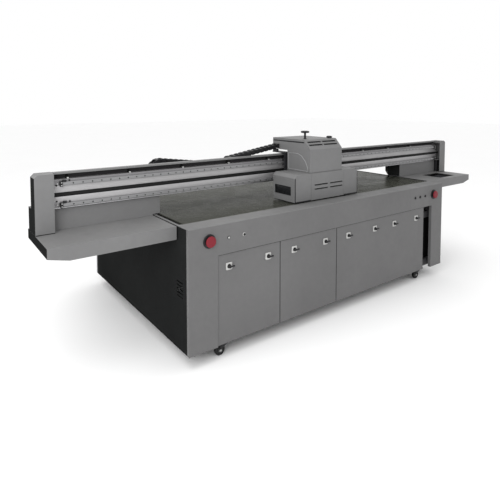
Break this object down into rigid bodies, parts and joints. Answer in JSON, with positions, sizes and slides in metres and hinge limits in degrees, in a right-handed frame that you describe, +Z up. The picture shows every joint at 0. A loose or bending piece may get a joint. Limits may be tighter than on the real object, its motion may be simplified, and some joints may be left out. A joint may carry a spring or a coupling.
{
  "type": "flatbed uv printer",
  "caption": "Industrial flatbed UV printer: vacuum table cabinet, moving gantry with belt-driven print carriage, lamps, drag chain, controls and casters.",
  "frame": {"origin": "on the floor, under the middle of the machine's outline", "axes": "+X along the gantry beam to the operator's right, +Y to the rear, +Z up"},
  "size_m": [4.49, 1.89, 1.494],
  "materials": {
    "grey_paint": "fine-texture powder coat, mid grey",
    "dark_paint": "fine-texture powder coat, charcoal",
    "frame_paint": "satin paint over welded steel",
    "aluminium": "extruded, clear anodised",
    "table_aluminium": "milled and hard anodised",
    "rail_steel": "ground and hardened",
    "machined_steel": "machined",
    "zinc_steel": "zinc plated",
    "black_plastic": "moulded, matt black",
    "chain_plastic": "moulded polyamide, black",
    "motor_black": "black enamel",
    "belt_rubber": "toothed polyurethane belt, black",
    "wheel_rubber": "black polyurethane tread",
    "seal_rubber": "silicone caps",
    "estop_red": "gloss red",
    "tank_plastic": "dark translucent polyethylene"
  },
  "bodies": {
    "base": {"base_frame": "frame_paint", "levelling_feet": "zinc_steel", "front_apron": "grey_paint", "front_panels": "grey_paint", "side_panels": "dark_paint", "rear_panel": "grey_paint", "table_surround": "grey_paint", "vacuum_table": "table_aluminium", "vacuum_plenum": "aluminium", "vacuum_blowers": "motor_black", "electrical_box": "frame_paint", "y_rails": "rail_steel", "y_drive_motor": "motor_black", "front_fittings": "black_plastic"},
    "gantry": {"gantry_beam": "aluminium", "beam_rails": "rail_steel", "x_belt": "belt_rubber", "x_drive_motor": "motor_black", "beam_top_cover": "grey_paint", "end_housings": "grey_paint", "left_tray": "grey_paint", "right_tray": "grey_paint", "gantry_arms": "machined_steel"},
    "x_saddle": {"x_saddle": "motor_black", "chain_rise": "chain_plastic"},
    "print_carriage": {"upper_cover": "grey_paint", "centre_cover": "grey_paint", "lamp_housings": "grey_paint", "uv_lamps": "motor_black", "head_frame": "aluminium", "print_heads": "machined_steel", "ink_tanks": "tank_plastic", "cover_knobs": "black_plastic"},
    "chain_loop": {"chain_loop": "chain_plastic"},
    "y_ballscrew": {"y_ballscrew": "rail_steel"},
    "x_drive_pulley": {"x_drive_pulley": "machined_steel"},
    "x_idler_pulley": {"x_idler_pulley": "machined_steel"},
    "capping_station": {"capping_station": "seal_rubber"},
    "estop_left": {"estop_left": "estop_red"},
    "estop_right": {"estop_right": "estop_red"},
    "push_button_1": {"push_button_1": "black_plastic"},
    "push_button_2": {"push_button_2": "black_plastic"},
    "push_button_3": {"push_button_3": "black_plastic"},
    "push_button_4": {"push_button_4": "black_plastic"},
    "zone_lever_1": {"zone_lever_1": "zinc_steel"},
    "zone_lever_2": {"zone_lever_2": "zinc_steel"},
    "zone_lever_3": {"zone_lever_3": "zinc_steel"},
    "zone_lever_4": {"zone_lever_4": "zinc_steel"},
    "zone_lever_5": {"zone_lever_5": "zinc_steel"},
    "zone_lever_6": {"zone_lever_6": "zinc_steel"},
    "zone_lever_7": {"zone_lever_7": "zinc_steel"},
    "zone_lever_8": {"zone_lever_8": "zinc_steel"},
    "caster_fork_front_left": {"caster_fork_front_left": "black_plastic"},
    "caster_wheel_front_left": {"caster_wheel_front_left": "wheel_rubber"},
    "caster_fork_front_right": {"caster_fork_front_right": "black_plastic"},
    "caster_wheel_front_right": {"caster_wheel_front_right": "wheel_rubber"},
    "caster_fork_rear_left": {"caster_fork_rear_left": "black_plastic"},
    "caster_wheel_rear_left": {"caster_wheel_rear_left": "wheel_rubber"},
    "caster_fork_rear_right": {"caster_fork_rear_right": "black_plastic"},
    "caster_wheel_rear_right": {"caster_wheel_rear_right": "wheel_rubber"}
  },
  "joints": [
    {"name": "gantry_y", "type": "slide", "parent": "base", "child": "gantry", "axis": [0, 1, 0], "range_m": [-0.13, 1.16]},
    {"name": "y_screw_turn", "type": "hinge", "parent": "base", "child": "y_ballscrew", "pos_m": [0, 0, 0.7], "axis": [0, 1, 0], "range_deg": [-1464, 13052]},
    {"name": "carriage_x", "type": "slide", "parent": "gantry", "child": "x_saddle", "axis": [1, 0, 0], "range_m": [-1.3, 1.9]},
    {"name": "chain_travel", "type": "slide", "parent": "gantry", "child": "chain_loop", "axis": [1, 0, 0], "range_m": [-0.65, 0.95]},
    {"name": "x_drive_pulley_turn", "type": "hinge", "parent": "gantry", "child": "x_drive_pulley", "pos_m": [2.18, -0.398, 1.15], "axis": [0, 0, 1], "range_deg": [-3458, 5054]},
    {"name": "x_idler_pulley_turn", "type": "hinge", "parent": "gantry", "child": "x_idler_pulley", "pos_m": [-2.18, -0.398, 1.15], "axis": [0, 0, 1], "range_deg": [-3458, 5054]},
    {"name": "carriage_lift", "type": "slide", "parent": "x_saddle", "child": "print_carriage", "axis": [0, 0, 1], "range_m": [0, 0.1]},
    {"name": "capping_lift", "type": "slide", "parent": "gantry", "child": "capping_station", "axis": [0, 0, 1], "range_m": [0, 0.012]},
    {"name": "estop_left_press", "type": "slide", "parent": "base", "child": "estop_left", "axis": [0, 1, 0], "range_m": [0, 0.005], "stiffness_N_per_m": 3000, "springref_m": -0.002},
    {"name": "estop_right_press", "type": "slide", "parent": "base", "child": "estop_right", "axis": [0, 1, 0], "range_m": [0, 0.005], "stiffness_N_per_m": 3000, "springref_m": -0.002},
    {"name": "push_button_1_press", "type": "slide", "parent": "base", "child": "push_button_1", "axis": [0, 1, 0], "range_m": [0, 0.003], "stiffness_N_per_m": 800, "springref_m": -0.002},
    {"name": "push_button_2_press", "type": "slide", "parent": "base", "child": "push_button_2", "axis": [0, 1, 0], "range_m": [0, 0.003], "stiffness_N_per_m": 800, "springref_m": -0.002},
    {"name": "push_button_3_press", "type": "slide", "parent": "base", "child": "push_button_3", "axis": [0, 1, 0], "range_m": [0, 0.003], "stiffness_N_per_m": 800, "springref_m": -0.002},
    {"name": "push_button_4_press", "type": "slide", "parent": "base", "child": "push_button_4", "axis": [0, 1, 0], "range_m": [0, 0.003], "stiffness_N_per_m": 800, "springref_m": -0.002},
    {"name": "zone_lever_1_turn", "type": "hinge", "parent": "base", "child": "zone_lever_1", "pos_m": [-1.141, -0.907, 0.63], "axis": [0, 1, 0], "range_deg": [0, 90]},
    {"name": "zone_lever_2_turn", "type": "hinge", "parent": "base", "child": "zone_lever_2", "pos_m": [-0.803, -0.907, 0.63], "axis": [0, 1, 0], "range_deg": [0, 90]},
    {"name": "zone_lever_3_turn", "type": "hinge", "parent": "base", "child": "zone_lever_3", "pos_m": [-0.552, -0.907, 0.63], "axis": [0, 1, 0], "range_deg": [0, 90]},
    {"name": "zone_lever_4_turn", "type": "hinge", "parent": "base", "child": "zone_lever_4", "pos_m": [-0.219, -0.907, 0.63], "axis": [0, 1, 0], "range_deg": [0, 90]},
    {"name": "zone_lever_5_turn", "type": "hinge", "parent": "base", "child": "zone_lever_5", "pos_m": [0.052, -0.907, 0.63], "axis": [0, 1, 0], "range_deg": [0, 90]},
    {"name": "zone_lever_6_turn", "type": "hinge", "parent": "base", "child": "zone_lever_6", "pos_m": [0.397, -0.907, 0.63], "axis": [0, 1, 0], "range_deg": [0, 90]},
    {"name": "zone_lever_7_turn", "type": "hinge", "parent": "base", "child": "zone_lever_7", "pos_m": [0.675, -0.907, 0.63], "axis": [0, 1, 0], "range_deg": [0, 90]},
    {"name": "zone_lever_8_turn", "type": "hinge", "parent": "base", "child": "zone_lever_8", "pos_m": [1.015, -0.907, 0.63], "axis": [0, 1, 0], "range_deg": [0, 90]},
    {"name": "caster_swivel_front_left", "type": "hinge", "parent": "base", "child": "caster_fork_front_left", "pos_m": [-1.144, -0.845, 0.09], "axis": [0, 0, 1], "continuous": true},
    {"name": "caster_roll_front_left", "type": "hinge", "parent": "caster_fork_front_left", "child": "caster_wheel_front_left", "pos_m": [-1.18, -0.845, 0.0385], "axis": [0, 1, 0], "continuous": true},
    {"name": "caster_swivel_front_right", "type": "hinge", "parent": "base", "child": "caster_fork_front_right", "pos_m": [1.151, -0.845, 0.09], "axis": [0, 0, 1], "continuous": true},
    {"name": "caster_roll_front_right", "type": "hinge", "parent": "caster_fork_front_right", "child": "caster_wheel_front_right", "pos_m": [1.115, -0.845, 0.0385], "axis": [0, 1, 0], "continuous": true},
    {"name": "caster_swivel_rear_left", "type": "hinge", "parent": "base", "child": "caster_fork_rear_left", "pos_m": [-1.144, 0.845, 0.09], "axis": [0, 0, 1], "continuous": true},
    {"name": "caster_roll_rear_left", "type": "hinge", "parent": "caster_fork_rear_left", "child": "caster_wheel_rear_left", "pos_m": [-1.18, 0.845, 0.0385], "axis": [0, 1, 0], "continuous": true},
    {"name": "caster_swivel_rear_right", "type": "hinge", "parent": "base", "child": "caster_fork_rear_right", "pos_m": [1.151, 0.845, 0.09], "axis": [0, 0, 1], "continuous": true},
    {"name": "caster_roll_rear_right", "type": "hinge", "parent": "caster_fork_rear_right", "child": "caster_wheel_rear_right", "pos_m": [1.115, 0.845, 0.0385], "axis": [0, 1, 0], "continuous": true}
  ],
  "couplings": [
    {"joint": "y_screw_turn", "follows": "gantry_y", "rad_per_m": 196.35},
    {"joint": "chain_travel", "follows": "carriage_x", "ratio": 0.5},
    {"joint": "x_drive_pulley_turn", "follows": "carriage_x", "rad_per_m": 46.404},
    {"joint": "x_idler_pulley_turn", "follows": "carriage_x", "rad_per_m": 46.404}
  ]
}
